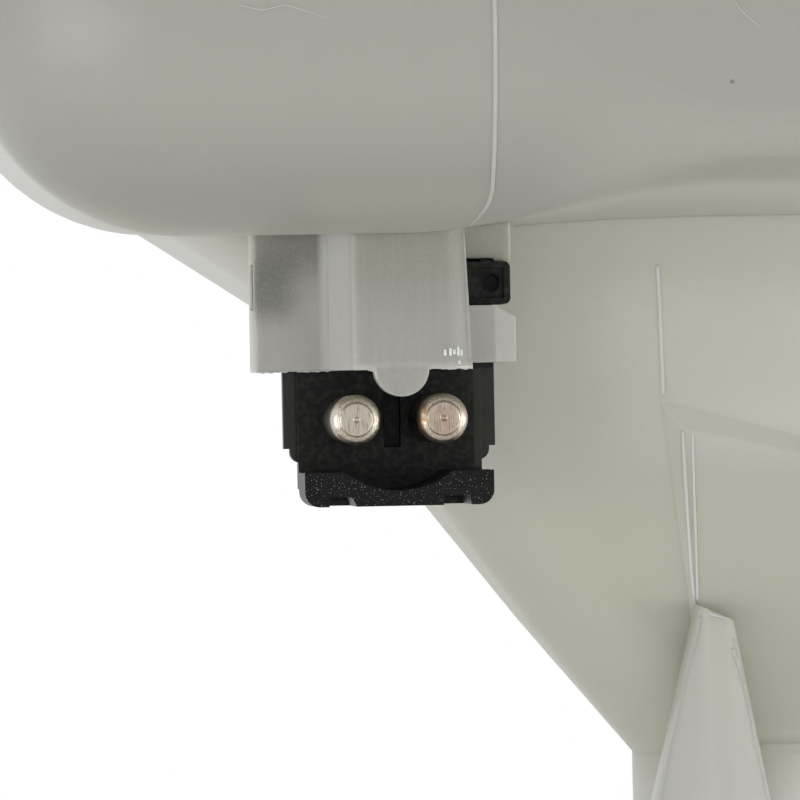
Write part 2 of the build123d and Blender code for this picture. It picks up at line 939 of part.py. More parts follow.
def upper_shell():
    """Upper shell with filler neck, vent, level marks and weld flange."""
    shape = upper_body(0) + extrude(plan(flange_width, weld_height), flange_thickness)
    collar_top = roof_at(filler_x) + collar_height
    shape += tube(filler_x, filler_y, (roof_left, collar_top), neck_radius + collar_width)
    shape += tube(filler_x, filler_y, (roof_left, neck_top), neck_radius)
    shape += vent(vent_radius, vent_reach)
    vent_bead = Pos(tank_left - vent_reach + vent_bead_from_end, vent_y, vent_z) * Rot(0, 90, 0)
    shape += vent_bead * Cone(vent_radius, vent_radius + vent_bead_proud, vent_bead_length)
    shape -= upper_body(wall)
    shape -= tube(filler_x, filler_y, (roof_left - roof_radius, neck_top + over), neck_bore_radius)
    shape -= vent(vent_bore_radius, vent_reach + over)
    shape += neck_thread()
    for z in (level_low, level_high):
        mark = box(
            (level_x - level_mark_length / 2, level_x + level_mark_length / 2),
            (tank_front - level_mark_proud, tank_front + level_mark_root),
            (z - level_mark_width / 2, z + level_mark_width / 2),
        )
        shape += mark
    return shape + baffle(upper_body(wall), (weld_height, roof_right), roof_at(baffle_x) - wall)


def vent(radius, length):
    """Straight vent nipple on the left wall."""
    middle = tank_left - length / 2 + over
    return Pos(middle, vent_y, vent_z) * Rot(0, 90, 0) * Cylinder(radius, length + 2 * over)


def baffle(room, z, vent_height):
    """Cross wall inside a shell, with a round passage."""
    sheet = box((baffle_x, baffle_x + baffle_thickness), (tank_front, tank_back), z) & room
    passage = Pos(baffle_x, (tank_front + tank_back) / 2, vent_height) * Rot(0, 90, 0)
    return sheet - passage * Cylinder(baffle_vent, 2 * baffle_thickness + over)


def lower_shell():
    """Lower shell: body, hopper, nipple, leg, sensor socket, well, flange and ears."""
    shape = lower_body(0) + hopper(0) + nipple()
    shape += extrude(plan(flange_width, weld_height - flange_thickness), flange_thickness)
    shape += wall_pad() + leg() + socket()
    for x, side in ((bolt_left, -1), (bolt_right, 1)):
        shape += ear(x, side)
    room = lower_body(wall)
    shape -= room + hopper(wall)
    shape -= tube(nipple_x, nipple_y, (nipple_end - over, nipple_bore_top), nipple_bore_radius)
    shape -= leg_socket()
    shape += baffle(room, (belly_height, weld_height), belly_height)
    return shape + sensor_well() - well_bore()


# Cap


def neck_gasket():
    """Flat rubber ring on the neck's rim."""
    z = (neck_top, flange_z)
    return ring(filler_x, filler_y, z, neck_radius, neck_bore_radius + gasket_bite)


def cap_insert():
    """Cup that hangs in the neck: flange, O-ring groove, valve seat and retainer groove."""
    shape = tube(filler_x, filler_y, (flange_z, insert_top), insert_flange_radius)
    shape += tube(filler_x, filler_y, (insert_bottom, flange_z), insert_radius)
    shape = chamfer(shape.edges().group_by(Axis.Z)[0], insert_edge)
    shape -= tube(filler_x, filler_y, (floor_z, insert_top + over), insert_bore_radius)
    shape -= tube(filler_x, filler_y, (insert_bottom - over, floor_z + over), seat_hole_radius)
    groove_z = (oring_z, oring_z + 2 * oring_section + 2 * fit_gap)
    shape -= ring(filler_x, filler_y, groove_z, insert_radius + over, oring_groove_radius)
    lid_z = (retainer_z - fit_gap, retainer_z + retainer_thickness + fit_gap)
    return shape - tube(filler_x, filler_y, lid_z, insert_bore_radius + retainer_bite + fit_gap)


def insert_oring():
    """O-ring in the insert's groove, just clear of the neck's wall."""
    middle = oring_groove_radius + fit_gap + oring_section
    z = oring_z + fit_gap + oring_section
    return Pos(filler_x, filler_y, z) * Torus(middle, oring_section)


def valve_seal():
    """Rubber ring under the pressure valve's plate."""
    z = (floor_z + fit_gap, valve_z)
    return ring(filler_x, filler_y, z, valve_radius - seal_inset, seat_hole_radius + seal_land)


def pressure_plate():
    """Pressure valve's plate with the rim that centres its spring."""
    z = (valve_z, valve_z + valve_thickness)
    shape = tube(filler_x, filler_y, z, valve_radius)
    rim_z = (z[1], z[1] + valve_rim_height)
    rim = spring_radius - spring_wire - valve_rim_gap
    shape += ring(filler_x, filler_y, rim_z, rim, rim - valve_rim_wall)
    return shape - tube(filler_x, filler_y, (z[0] - over, z[1] + over), valve_hole_radius)


def spring_retainer():
    """Slotted disc clipped into the insert, which backs the pressure spring."""
    z = (retainer_z, retainer_z + retainer_thickness)
    shape = ring(filler_x, filler_y, z, insert_bore_radius + retainer_bite, poppet_radius)
    slot = box(
        (filler_x - retainer_slot_width / 2, filler_x + retainer_slot_width / 2),
        (filler_y + retainer_slot[0], filler_y + retainer_slot[1]),
        (z[0] - over, z[1] + over),
    )
    for turn in range(retainer_slots):
        shape -= slot.rotate(Axis((filler_x, filler_y, 0), (0, 0, 1)), 360 / retainer_slots * turn)
    return shape


def pressure_spring():
    """Spring between the plate and the retainer."""
    z = (valve_z + valve_thickness, retainer_z)
    return coil(filler_x, filler_y, z, spring_radius, spring_wire, spring_turns)


def vacuum_valve():
    """Poppet under the plate, its stem up through the plate's hole."""
    head = tube(filler_x, filler_y, (poppet_z, poppet_z + poppet_thickness), poppet_radius)
    head = chamfer(head.edges().group_by(Axis.Z)[0], poppet_edge)
    shape = head + tube(filler_x, filler_y, (poppet_z, stem_top), poppet_stem_radius)
    groove_z = (washer_z - fit_gap, washer_z + washer_thickness + fit_gap)
    waist = poppet_stem_radius - washer_groove
    return shape - ring(filler_x, filler_y, groove_z, poppet_stem_radius + over, waist)


def vacuum_washer():
    """Spring washer clipped on the poppet's stem."""
    z = (washer_z, washer_z + washer_thickness)
    return ring(filler_x, filler_y, z, washer_radius, poppet_stem_radius - washer_groove + fit_gap)


def vacuum_spring():
    """Light spring that pulls the poppet shut."""
    z = (valve_z + valve_thickness, washer_z)
    return coil(filler_x, filler_y, z, poppet_spring_radius, poppet_spring_wire, poppet_spring_turns)


def cap_shell():
    """Grip cap that turns on the insert: roof, fluted skirt and the lip under the insert's flange."""
    roof_z = insert_top + cap_clearance
    top = roof_z + cap_roof
    base = top - cap_skirt
    profile = make_face(
        Polyline(
            (0, roof_z),
            (cap_bore_radius, roof_z),
            (cap_bore_radius, base),
            (cap_radius - cap_foot_edge, base),
            (cap_radius, base + cap_foot_edge),
            (cap_radius - cap_draft, top - cap_brow[1]),
            (cap_radius - cap_shoulder[0], top - cap_shoulder[1]),
            (cap_radius - cap_brow[0], top),
            (cap_radius - cap_dish[0], top),
            (cap_radius - cap_dish[1], top - cap_dish[2]),
            (0, top - cap_dish[2]),
            close=True,
        )
    )
    shape = Pos(filler_x, filler_y, 0) * revolve(Plane.XZ * profile, Axis.Z)
    lip_top = flange_z - cap_clearance
    lip_z = (lip_top - cap_lip_height, lip_top)
    shape += ring(filler_x, filler_y, lip_z, cap_bore_radius + over, cap_lip_radius)
    flute = cap_radius - cap_grip_depth + cap_grip_radius
    for grip in range(cap_grips):
        turn = 2 * math.pi * grip / cap_grips
        x = filler_x + flute * math.cos(turn)
        y = filler_y + flute * math.sin(turn)
        shape -= tube(x, y, (base - over, top + over), cap_grip_radius)
    return shape


def lug_sleeve(x):
    """Steel sleeve that takes the bolt's clamping force through an ear."""
    z = (ear_bottom, weld_height + sleeve_proud)
    shape = ring(x, ear_y, z, sleeve_radius, bolt_hole_radius)
    return chamfer(shape.edges().group_by(Axis.Z)[-1].sort_by(SortBy.RADIUS)[0], sleeve_chamfer)


def foot_grommet():
    """Rubber foot in the leg's socket, with a waisted bore for the peg below."""
    lip_top = leg_foot - grommet_lip_gap
    lip_z = (lip_top - grommet_lip_height, lip_top)
    top = leg_foot + grommet_length
    shape = tube(leg_foot_x, leg_y, (lip_z[0], top), grommet_radius)
    shape += tube(leg_foot_x, leg_y, lip_z, grommet_radius + grommet_lip)
    bore_z = (lip_z[0] - over, top - grommet_roof)
    return shape - tube(leg_foot_x, leg_y, bore_z, grommet_bore_radius)


parts["lower_shell"] = lower_shell()
parts["upper_shell"] = upper_shell()
parts["sensor_housing"] = sensor_housing()
parts["sensor_pin_left"] = contact_pin(-pin_pitch / 2)
parts["sensor_pin_right"] = contact_pin(pin_pitch / 2)
parts["sensor_potting"] = sensor_potting()
parts["reed_switch"] = reed_switch()
parts["reed_lead_left"] = lead(-1, lead_radius)
parts["reed_lead_right"] = lead(1, lead_radius)
parts["float_ring"] = float_ring()
parts["float_magnet"] = float_magnet()
parts["float_clip"] = float_clip()
parts["neck_gasket"] = neck_gasket()
parts["cap_insert"] = cap_insert()
parts["insert_oring"] = insert_oring()
parts["pressure_plate"] = pressure_plate()
parts["valve_seal"] = valve_seal()
parts["pressure_spring"] = pressure_spring()
parts["spring_retainer"] = spring_retainer()
parts["vacuum_valve"] = vacuum_valve()
parts["vacuum_washer"] = vacuum_washer()
parts["vacuum_spring"] = vacuum_spring()
parts["cap_shell"] = cap_shell()
parts["lug_sleeve_left"] = lug_sleeve(bolt_left)
parts["lug_sleeve_right"] = lug_sleeve(bolt_right)
parts["foot_grommet"] = foot_grommet()

# The origin goes midway between the bolts, on the underside of the ears
origin = Pos(-(bolt_left + bolt_right) / 2, -ear_y, -ear_bottom)
os.makedirs("parts", exist_ok=True)
for name, shape in parts.items():
    export_step(origin * shape, f"parts/{name}.step")
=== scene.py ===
import bpy
import bmesh
import json
import math
import random
from mathutils import Matrix, Vector


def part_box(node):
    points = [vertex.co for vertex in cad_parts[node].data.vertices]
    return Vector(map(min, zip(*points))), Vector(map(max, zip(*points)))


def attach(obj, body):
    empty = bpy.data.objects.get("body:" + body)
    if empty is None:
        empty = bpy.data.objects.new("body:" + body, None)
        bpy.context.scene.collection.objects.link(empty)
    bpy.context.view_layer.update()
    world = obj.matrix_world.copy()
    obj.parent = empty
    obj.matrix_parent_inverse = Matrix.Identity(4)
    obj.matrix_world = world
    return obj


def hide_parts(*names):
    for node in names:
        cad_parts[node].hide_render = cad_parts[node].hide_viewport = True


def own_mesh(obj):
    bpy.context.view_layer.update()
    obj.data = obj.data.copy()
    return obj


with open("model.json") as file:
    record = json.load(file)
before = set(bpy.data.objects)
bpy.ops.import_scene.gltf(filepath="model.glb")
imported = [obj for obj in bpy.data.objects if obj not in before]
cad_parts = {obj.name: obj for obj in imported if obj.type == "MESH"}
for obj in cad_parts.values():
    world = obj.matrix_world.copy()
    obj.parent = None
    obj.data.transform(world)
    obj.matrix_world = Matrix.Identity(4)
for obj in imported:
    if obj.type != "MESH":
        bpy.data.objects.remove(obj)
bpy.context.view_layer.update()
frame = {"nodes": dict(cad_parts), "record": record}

nodes = frame["nodes"]
scene = bpy.context.scene
random.seed(7)

# Places are in millimetres from the point midway between the pins' tips, which lies here in the frame
pinPoint = Vector((-58.6, -29.0, -44.0))
mmPerMetre = 1000


def at(x, y, z):
    return (Vector((x, y, z)) + pinPoint) / mmPerMetre


# sRGB hex code to the linear colour that nodes take
def toLinear(hexCode):
    parts = [int(hexCode[i:i + 2], 16) / 255 for i in (1, 3, 5)]
    return tuple(c / 12.92 if c <= 0.04045 else ((c + 0.055) / 1.055) ** 2.4 for c in parts) + (1.0,)


# adds one node: settings are its properties, and inputs its sockets by name or number, each given as a value,
# a socket or a node
def addNode(tree, kind, settings=None, inputs=None):
    node = tree.nodes.new("ShaderNode" + kind)
    for key, value in (settings or {}).items():
        setattr(node, key, value)
    for key, value in (inputs or {}).items():
        source = value.outputs[0] if isinstance(value, bpy.types.Node) else value
        if isinstance(source, bpy.types.NodeSocket):
            tree.links.new(source, node.inputs[key])
        else:
            node.inputs[key].default_value = source
    return node


# an empty material, its tree, and where a point of the surface lies in the millimetres used here
def newMaterial(name):
    material = bpy.data.materials.new(name)
    material.use_nodes = True
    tree = material.node_tree
    tree.nodes.clear()
    metres = addNode(tree, "TexCoord").outputs["Object"]
    place = addNode(tree, "VectorMath", {"operation": "MULTIPLY_ADD"},
                    {0: metres, 1: (mmPerMetre, mmPerMetre, mmPerMetre), 2: tuple(-pinPoint)})
    return material, tree, place


# 1 inside a box with soft sides and 0 outside; an axis given as None stays open
def softZone(tree, place, sides, blur):
    axes = addNode(tree, "SeparateXYZ", None, {0: place})
    mask = None
    for axis, limits in zip("XYZ", sides):
        for limit, way in ((limits[0], 1), (limits[1], -1)) if limits else ():
            step = addNode(tree, "MapRange", {"interpolation_type": "SMOOTHSTEP"}, {
                "Value": axes.outputs[axis], "From Min": limit - way * blur, "From Max": limit + way * blur})
            if mask is None:
                mask = step
            else:
                mask = addNode(tree, "Math", {"operation": "MULTIPLY"}, {0: mask, 1: step})
    return mask


print("materials")

# Natural polypropylene, moulded: milky and satin. Light goes a millimetre or two in, so edges soften. Shade
# is painted into the colour where something black stands close behind a wall and over and under the belly,
# and light on the block's left side
tankPlastic = {
    "colour": "#c5c4c0", "cloud": "#bebcb4", "warmAndShaded": "#b3b1a2",
    "thin": "#a09f98", "frostAndLitStrip": "#bfbeba", "shadeAndSpeckTint": "#62625e",
    "cloudSize": 18.0,       # mm, slow changes of the wall's thickness
    "peelSize": 1.4,         # mm, orange peel of the wall
    "peelHeight": 0.02,      # mm
    "peelShare": 0.5,        # of that height
    "pitSize": 0.8,          # mm, stronger peel in one patch
    "pitHeight": 0.1,        # mm
    "grainSize": 0.24,       # mm, eroded grain of the bracket, drawn a little coarser than real
    "grainHeight": 0.03,     # mm
    "bloom": 0.16,           # how much paler the tips of that grain are
    "bloomRange": (0.5, 0.75),
    "drawSize": 0.5,         # mm, between the faint lines along the bracket's draw
    "drawStretch": 0.06,     # one over how much longer those lines are than wide
    "drawRange": (0.35, 0.75),
    "drawTint": (-0.007, 0.011),
    "depth": 1.6,            # mm that light goes in
    "scatter": 0.85,         # share of the light that does
    "spread": (1.0, 0.95, 0.85),
    "roughness": 0.42,
    "ior": 1.49,
    "edge": 0.35,            # mm, rounding of the edges
    # place in X, Y and Z, blur and strength of what tints the wall, mostly painted shade and one strip of
    # painted light
    "shadeZonesAndSpeck": ((((-11.6, -3.6), (6, 12.4), (11.2, 18.0)), 2.2, 0.70),     # painted shade where the sensor stands behind the left panel
               (((-13.0, -7.8), (5, 13), (8.4, 13.2)), 1.5, 0.70),        # and of its left latch
               (((-12.0, -3.6), (5, 12.4), (2.0, 11.0)), 1.5, 0.36),
               (((-3.9, 6.2), (-2, 3), (4.2, 17.0)), 0.5, 0.44),
               (((-1.9, 2.4), (-1, 3), (0.6, 4.2)), 0.3, 0.46),           # painted shade of its face behind the lobe
               # painted shade on the bracket's right wings, under the belly
               (((6.2, 11), (8, 19), (12.4, 17.5)), 0.5, 0.28),
               (((6.2, 11), (8, 19), (2.0, 9.2)), 0.5, 0.32),
               (((-60, 12), (-40, 0), (8, 21)), 5.0, 0.24),               # painted shade under the belly's turn
               (((23.9, 24.2), (-27, -25), (25.35, 25.6)), 0.1, 0.8)),    # speck of dirt on the belly
    "warmthAndShade": ((((-40, 100), (-12, 30), (11.0, 17.8)), 2.0, 0.55),        # painted shade, yellower, in the thick corner under the belly
               (((-8, 6), (-20, 0), (13.0, 18.0)), 2.0, 0.4),
               (((16.0, 23.0), (26, 32), (-16.0, 2.0)), 3.0, 0.30),
               (((6, 40), (26, 32), (-5.0, 18.0)), 8.0, 0.35),
               (((-10, 50), (26.5, 60), (-30.0, -6.0)), 3.0, 0.75)),
    "thinWallAndShade": (((None, (-40, -4), (12, 60)), 7.0, 0.93),                # painted shade, darker where the wall is stretched thin over the belly
                 (((-10, 50), (26.5, 60), (-30.0, -3.0)), 3.0, 0.45),      # and low on the hopper
                 (((8, 20), (26.5, 40), (-5.0, 16.0)), 4.0, 0.35),
                 # painted shade on the belly's underside
                 (((-60, 12), (-40, 0), (11, 22)), 5.0, 0.8)),
    # painted light: the block's left side drawn lighter than the shaded panel beside it
    "paintedLightStrip": ((((-5.6, -3.7), (-1, 11), (2.0, 16.5)), 0.4, 1.0),),
    # place and blur of the bracket, which has the grain and the drawn lines, and of the patch with the pits
    "bracket": (((-12.6, 11.4), (-1, 19), (1.5, 16.2)), 0.6),
    "peelPatch": (((20.5, 42.0), (-27, -13), (18.5, 25.0)), 2.5),
}


def polypropyleneMoulded():
    opts = tankPlastic
    material, tree, place = newMaterial("polypropyleneMoulded")
    cloud = addNode(tree, "TexNoise", None, {"Vector": place, "Scale": 1 / opts["cloudSize"], "Detail": 3.0})
    colour = addNode(tree, "Mix", {"data_type": "RGBA"},
                     {0: cloud, 6: toLinear(opts["cloud"]), 7: toLinear(opts["colour"])}).outputs[2]
    for zones, tint in (("thinWallAndShade", "thin"), ("warmthAndShade", "warmAndShaded"), ("shadeZonesAndSpeck", "shadeAndSpeckTint"), ("paintedLightStrip", "frostAndLitStrip")):
        for sides, blur, strength in opts[zones]:
            share = addNode(tree, "Math", {"operation": "MULTIPLY"},
                            {0: softZone(tree, place, sides, blur), 1: strength})
            colour = addNode(tree, "Mix", {"data_type": "RGBA"},
                             {0: share, 6: colour, 7: toLinear(opts[tint])}).outputs[2]
    bracket = softZone(tree, place, *opts["bracket"])
    # faint upright lines where the bracket left its mould
    drawn = addNode(tree, "Mapping", None, {"Vector": place, "Scale": (1.0, 1.0, opts["drawStretch"])})
    lines = addNode(tree, "TexNoise", None, {"Vector": drawn, "Scale": 1 / opts["drawSize"], "Detail": 3.0})
    lines = addNode(tree, "MapRange", None, {
        "Value": lines, "From Min": opts["drawRange"][0], "From Max": opts["drawRange"][1],
        "To Min": opts["drawTint"][0], "To Max": opts["drawTint"][1]})
    lines = addNode(tree, "Math", {"operation": "MULTIPLY"}, {0: lines, 1: bracket})
    bloom = addNode(tree, "TexNoise", None, {"Vector": place, "Scale": 1 / opts["grainSize"], "Detail": 4.0})
    bloom = addNode(tree, "MapRange", None, {
        "Value": bloom, "From Min": opts["bloomRange"][0], "From Max": opts["bloomRange"][1],
        "To Max": opts["bloom"]})
    bloom = addNode(tree, "Math", {"operation": "MULTIPLY"}, {0: bloom, 1: bracket})
    colour = addNode(tree, "Mix", {"data_type": "RGBA"},
                     {0: bloom, 6: colour, 7: toLinear(opts["frostAndLitStrip"])}).outputs[2]
    colour = addNode(tree, "VectorMath", {"operation": "ADD"}, {0: colour, 1: lines})
    # relief: rounded edges, orange peel all over and stronger in one patch, grain on the bracket
    rounded = addNode(tree, "Bevel", {"samples": 4}, {"Radius": opts["edge"] / mmPerMetre})
    peel = addNode(tree, "TexNoise", None, {"Vector": place, "Scale": 1 / opts["peelSize"], "Detail": 1.0})
    relief = addNode(tree, "Bump", None, {
        "Strength": opts["peelShare"], "Distance": opts["peelHeight"] / mmPerMetre, "Height": peel,
        "Normal": rounded})
    patch = softZone(tree, place, *opts["peelPatch"])
    pits = addNode(tree, "TexNoise", None, {"Vector": place, "Scale": 1 / opts["pitSize"], "Detail": 2.0})
    pits = addNode(tree, "Math", {"operation": "MULTIPLY"}, {0: pits, 1: patch})
    relief = addNode(tree, "Bump", None,
                     {"Distance": opts["pitHeight"] / mmPerMetre, "Height": pits, "Normal": relief})
    grain = addNode(tree, "TexNoise", None, {"Vector": place, "Scale": 1 / opts["grainSize"], "Detail": 3.0})
    grain = addNode(tree, "Math", {"operation": "MULTIPLY"}, {0: grain, 1: bracket})
    relief = addNode(tree, "Bump", None,
                     {"Distance": opts["grainHeight"] / mmPerMetre, "Height": grain, "Normal": relief})
    surface = addNode(tree, "BsdfPrincipled", {"subsurface_method": "RANDOM_WALK"}, {
        "Base Color": colour, "Roughness": opts["roughness"], "IOR": opts["ior"],
        "Subsurface Weight": opts["scatter"], "Subsurface Scale": opts["depth"] / mmPerMetre,
        "Subsurface Radius": opts["spread"], "Normal": relief})
    addNode(tree, "OutputMaterial", None, {"Surface": surface})
    return material


# Polypropylene flash: the thin film and beads at mould joints, a little glossier than the wall. It is drawn
# opaque, in a greyer colour that comes out about as pale as the wall does, and on the block's pips much paler
# as painted glints
flashPlastic = {
    "colour": "#a6a59f", "thin": "#b1b0ab", "pale": "#bdbcb8", "glintTip": "#d8d8d5",
    "patchSize": 1.1,        # mm, patches where the film is thicker
    "patchHeight": 0.02,     # mm
    "roughness": 0.38,
    "ior": 1.49,
    "hopper": ((None, (15, 60), None), 3.0),                 # paler where the wall behind it is
    # painted glints on the block's pips
    "glintPips": (((3.2, 5.7), (-1, 0.6), (4.1, 6.0)), 0.2),
}


def polypropyleneFlash():
    opts = flashPlastic
    material, tree, place = newMaterial("polypropyleneFlash")
    patches = addNode(tree, "TexNoise", None,
                      {"Vector": place, "Scale": 1 / opts["patchSize"], "Detail": 3.0})
    colour = addNode(tree, "Mix", {"data_type": "RGBA"},
                     {0: patches, 6: toLinear(opts["colour"]), 7: toLinear(opts["thin"])}).outputs[2]
    for zone, tint in (("hopper", "pale"), ("glintPips", "glintTip")):
        share = softZone(tree, place, *opts[zone])
        colour = addNode(tree, "Mix", {"data_type": "RGBA"},
                         {0: share, 6: colour, 7: toLinear(opts[tint])}).outputs[2]
    relief = addNode(tree, "Bump", None, {"Distance": opts["patchHeight"] / mmPerMetre, "Height": patches})
    surface = addNode(tree, "BsdfPrincipled", None, {
        "Base Color": colour, "Roughness": opts["roughness"], "IOR": opts["ior"], "Normal": relief})
    addNode(tree, "OutputMaterial", None, {"Surface": surface})
    return material


# Glass-filled PBT, moulded: near black and satin with a little grey dust, its front rim spark-eroded so that
# it glitters, with pale specks of fibre ends that are partly painted glints, and painted shade in the latch's
# hole
sensorPlastic = {
    "colour": "#0f0e0d", "dust": "#2b2a27", "flange": "#2a2a26",
    "holeShade": "#010101", "rimColour": "#060606", "fibreAndGlint": "#96968f",
    "dustSize": 0.5,         # mm, patches of dust
    "dustRange": (0.45, 0.8),
    "fibre": 0.13,           # mm, ends of glass fibres in the rim, drawn coarser than real so that they show
    "fibreRange": (0.66, 0.74),
    "waveSize": 0.6,         # mm, faint waves of the smooth faces
    "waveHeight": 0.02,      # mm
    "grit": 0.14,            # mm, grit of the eroded rim, drawn coarser than real so that it shows
    "gritHeight": 0.08,      # mm
    "roughness": 0.42, "rimRoughness": 0.24,
    "ior": 1.5,
    "shine": 0.22,           # dust and grain take away most of the reflection
    "edge": 0.12,            # mm
    # place and blur of the front rim, the latch's hole, which is painted in shade, and the flanges
    "rim": (((-9, 9), (-1.0, 0.3), (-8, -3.6)), 0.12),
    "hole": (((7.85, 9.25), (12, 40), (10.45, 11.85)), 0.12),
    "sides": ((((-9.5, -7.7), (11, 15), (-4, 4)), 0.1), (((6.9, 9.5), (11, 15), (-4, 4)), 0.1)),
}


def pbtMoulded():
    opts = sensorPlastic
    material, tree, place = newMaterial("pbtGlassFilledMoulded")
    rim = softZone(tree, place, *opts["rim"])
    dust = addNode(tree, "TexNoise", None, {"Vector": place, "Scale": 1 / opts["dustSize"], "Detail": 4.0})
    dust = addNode(tree, "MapRange", None, {
        "Value": dust, "From Min": opts["dustRange"][0], "From Max": opts["dustRange"][1]})
    colour = addNode(tree, "Mix", {"data_type": "RGBA"},
                     {0: dust, 6: toLinear(opts["colour"]), 7: toLinear(opts["dust"])}).outputs[2]
    for sides, blur in opts["sides"]:
        share = softZone(tree, place, sides, blur)
        colour = addNode(tree, "Mix", {"data_type": "RGBA"},
                         {0: share, 6: colour, 7: toLinear(opts["flange"])}).outputs[2]
    fibreGlints = addNode(tree, "TexNoise", None, {"Vector": place, "Scale": 1 / opts["fibre"], "Detail": 1.0})
    fibreGlints = addNode(tree, "MapRange", None, {
        "Value": fibreGlints, "From Min": opts["fibreRange"][0], "From Max": opts["fibreRange"][1]})
    fibreGlints = addNode(tree, "Math", {"operation": "MULTIPLY"}, {0: fibreGlints, 1: rim})
    hole = softZone(tree, place, *opts["hole"])
    for share, tint in ((rim, "rimColour"), (fibreGlints, "fibreAndGlint"), (hole, "holeShade")):
        colour = addNode(tree, "Mix", {"data_type": "RGBA"},
                         {0: share, 6: colour, 7: toLinear(opts[tint])}).outputs[2]
    roughness = addNode(tree, "Mix", {"data_type": "FLOAT"},
                        {0: rim, 2: opts["roughness"], 3: opts["rimRoughness"]})
    rounded = addNode(tree, "Bevel", {"samples": 4}, {"Radius": opts["edge"] / mmPerMetre})
    waves = addNode(tree, "TexNoise", None, {"Vector": place, "Scale": 1 / opts["waveSize"], "Detail": 3.0})
    relief = addNode(tree, "Bump", None,
                     {"Distance": opts["waveHeight"] / mmPerMetre, "Height": waves, "Normal": rounded})
    grit = addNode(tree, "TexNoise", None, {"Vector": place, "Scale": 1 / opts["grit"], "Detail": 2.0})
    grit = addNode(tree, "Math", {"operation": "MULTIPLY"}, {0: grit, 1: rim})
    relief = addNode(tree, "Bump", None,
                     {"Distance": opts["gritHeight"] / mmPerMetre, "Height": grit, "Normal": relief})
    surface = addNode(tree, "BsdfPrincipled", None, {
        "Base Color": colour, "Roughness": roughness, "IOR": opts["ior"],
        "Specular IOR Level": opts["shine"], "Normal": relief})
    addNode(tree, "OutputMaterial", None, {"Surface": surface})
    return material


# Brass, nickel plated and used: bright and slightly warm, scratched by plugging, brown where it wore through,
# and painted dark as shade on the bodies back in the recess
pinMetal = {
    "colour": "#d3cabb", "scored": "#8b8376", "worn": "#9c7340", "copper": "#c09a86", "recessDark": "#2e2a24",
    "cloudSize": 0.45,       # mm, spots of wear
    "spotRange": (0.28, 0.56),
    "scratch": 0.09,         # mm between scratches, drawn a little coarser than real
    "scratchStretch": 0.07,  # one over how much longer they are than wide
    "scratchRange": (0.48, 0.66),
    "scratchShare": 0.75,
    "reliefHeight": 0.02,    # mm, of scratches and spots alike
    "roughness": 0.38,
    "roughRange": (0.3, 0.7),
    "roughSpan": (-0.08, 0.14),
    "edge": 0.1,             # mm
    # place in X, Y and Z, blur and strength of what tints the metal
    "stain": (((1.0, 2.2), (-0.2, 4.0), (-2.3, 1.2)), 0.3, 0.9),
    "blush": (((2.6, 4.6), (-0.5, 0.6), (-1.4, 1.0)), 0.5, 0.6),
    "recessShade": (((-9, 9), (2.2, 20), (-4, 4)), 0.5, 0.95),   # painted shade on the bodies, back in the dark recess
}


def brassNickelPlated():
    opts = pinMetal
    material, tree, place = newMaterial("brassNickelPlated")
    cloud = addNode(tree, "TexNoise", None, {"Vector": place, "Scale": 1 / opts["cloudSize"], "Detail": 4.0})
    spots = addNode(tree, "MapRange", None, {
        "Value": cloud, "From Min": opts["spotRange"][0], "From Max": opts["spotRange"][1]})
    colour = toLinear(opts["colour"])
    for zone, tint, marks in (("stain", "worn", spots), ("blush", "copper", spots), ("recessShade", "recessDark", 1)):
        sides, blur, strength = opts[zone]
        share = addNode(tree, "Math", {"operation": "MULTIPLY"},
                        {0: softZone(tree, place, sides, blur), 1: marks})
        share = addNode(tree, "Math", {"operation": "MULTIPLY"}, {0: share, 1: strength})
        colour = addNode(tree, "Mix", {"data_type": "RGBA"},
                         {0: share, 6: colour, 7: toLinear(opts[tint])}).outputs[2]
    upright = addNode(tree, "Mapping", None, {"Vector": place, "Scale": (1.0, 1.0, opts["scratchStretch"])})
    scratches = addNode(tree, "TexNoise", None,
                        {"Vector": upright, "Scale": 1 / opts["scratch"], "Detail": 2.0})
    score = addNode(tree, "MapRange", None, {
        "Value": scratches, "From Min": opts["scratchRange"][0], "From Max": opts["scratchRange"][1],
        "To Max": opts["scratchShare"]})
    colour = addNode(tree, "Mix", {"data_type": "RGBA"},
                     {0: score, 6: colour, 7: toLinear(opts["scored"])}).outputs[2]
    smoother, rougher = opts["roughSpan"]
    roughness = addNode(tree, "MapRange", None, {
        "Value": cloud, "From Min": opts["roughRange"][0], "From Max": opts["roughRange"][1],
        "To Min": opts["roughness"] + smoother, "To Max": opts["roughness"] + rougher})
    relief = addNode(tree, "Bevel", {"samples": 6}, {"Radius": opts["edge"] / mmPerMetre})
    for height in (scratches, cloud):
        relief = addNode(tree, "Bump", None,
                         {"Distance": opts["reliefHeight"] / mmPerMetre, "Height": height, "Normal": relief})
    surface = addNode(tree, "BsdfPrincipled", None,
                      {"Base Color": colour, "Metallic": 1.0, "Roughness": roughness, "Normal": relief})
    addNode(tree, "OutputMaterial", None, {"Surface": surface})
    return material


# Polyamide, moulded with a fine grain: black, a little greyer and smoother in patches, where hands rub
capPlastic = {
    "colour": "#181819", "rubbed": "#29292a",
    "rubSize": 7.0,          # mm, patches that hands rub
    "rubRange": (0.42, 0.7),
    "rubSmooths": 0.12,      # what that takes from the roughness
    "grain": 0.4,            # mm
    "grainHeight": 0.05,     # mm
    "roughness": 0.48,
    "ior": 1.53,
    "edge": 0.5,             # mm
}


